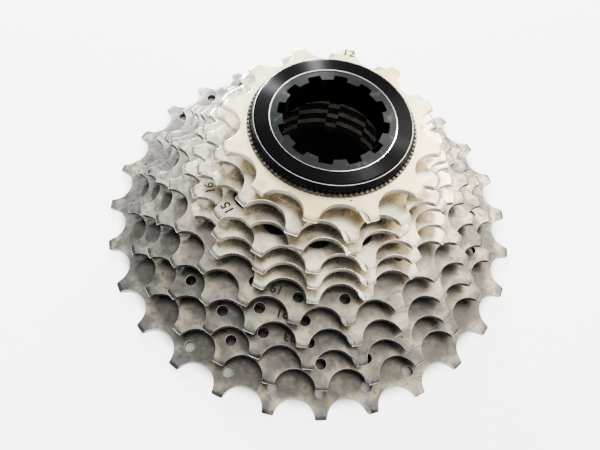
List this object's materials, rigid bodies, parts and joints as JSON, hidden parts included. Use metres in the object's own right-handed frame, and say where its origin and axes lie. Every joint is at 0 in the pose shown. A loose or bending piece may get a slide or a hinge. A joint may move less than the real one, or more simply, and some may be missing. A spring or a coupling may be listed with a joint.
{
  "type": "cassette sprocket",
  "caption": "Stepped stack of toothed chain sprockets on a splined bore, the large ones riveted to two carriers, closed by a notched screw lockring.",
  "frame": {"origin": "centre of the splined freehub bore, on the flat back face of the largest sprocket", "axes": "+Z along the freehub axis, from the largest sprocket to the lockring; +Y through the narrow key spline"},
  "size_m": [0.1138, 0.1138, 0.0414],
  "materials": {
    "titanium": "matte",
    "nickel_steel": "satin",
    "spacer_nylon": "matte",
    "anodised_carrier": "satin",
    "anodised_lockring": "gloss",
    "rivet_steel": "satin",
    "washer_steel": "satin"
  },
  "bodies": {
    "stack": {"sprocket_28t": "titanium", "sprocket_25t": "titanium", "sprocket_23t": "titanium", "sprocket_21t": "titanium", "sprocket_19t": "titanium", "sprocket_17t": "nickel_steel", "sprocket_16t": "nickel_steel", "sprocket_15t": "nickel_steel", "sprocket_14t": "nickel_steel", "sprocket_13t": "nickel_steel", "sprocket_12t": "nickel_steel", "spacer_14_15": "spacer_nylon", "spacer_15_16": "spacer_nylon", "spacer_16_17": "spacer_nylon", "spacer_17_19": "spacer_nylon", "carrier_23_25_28": "anodised_carrier", "carrier_19_21": "anodised_carrier", "rivets_28t": "rivet_steel", "rivets_25t": "rivet_steel", "rivets_23t": "rivet_steel", "rivets_19t_21t": "rivet_steel"},
    "washer": {"lockring_washer": "washer_steel"},
    "lockring": {"lockring": "anodised_lockring"}
  },
  "joints": [
    {"name": "lockring_rise", "type": "slide", "parent": "stack", "child": "washer", "axis": [0, 0, 1], "range_m": [0, 0.0048]},
    {"name": "lockring_turn", "type": "hinge", "parent": "washer", "child": "lockring", "pos_m": [0, 0, 0.039], "axis": [0, 0, 1], "range_deg": [0, 1620]}
  ],
  "couplings": [
    {"joint": "lockring_rise", "follows": "lockring_turn", "m_per_rad": 0.00016843}
  ]
}
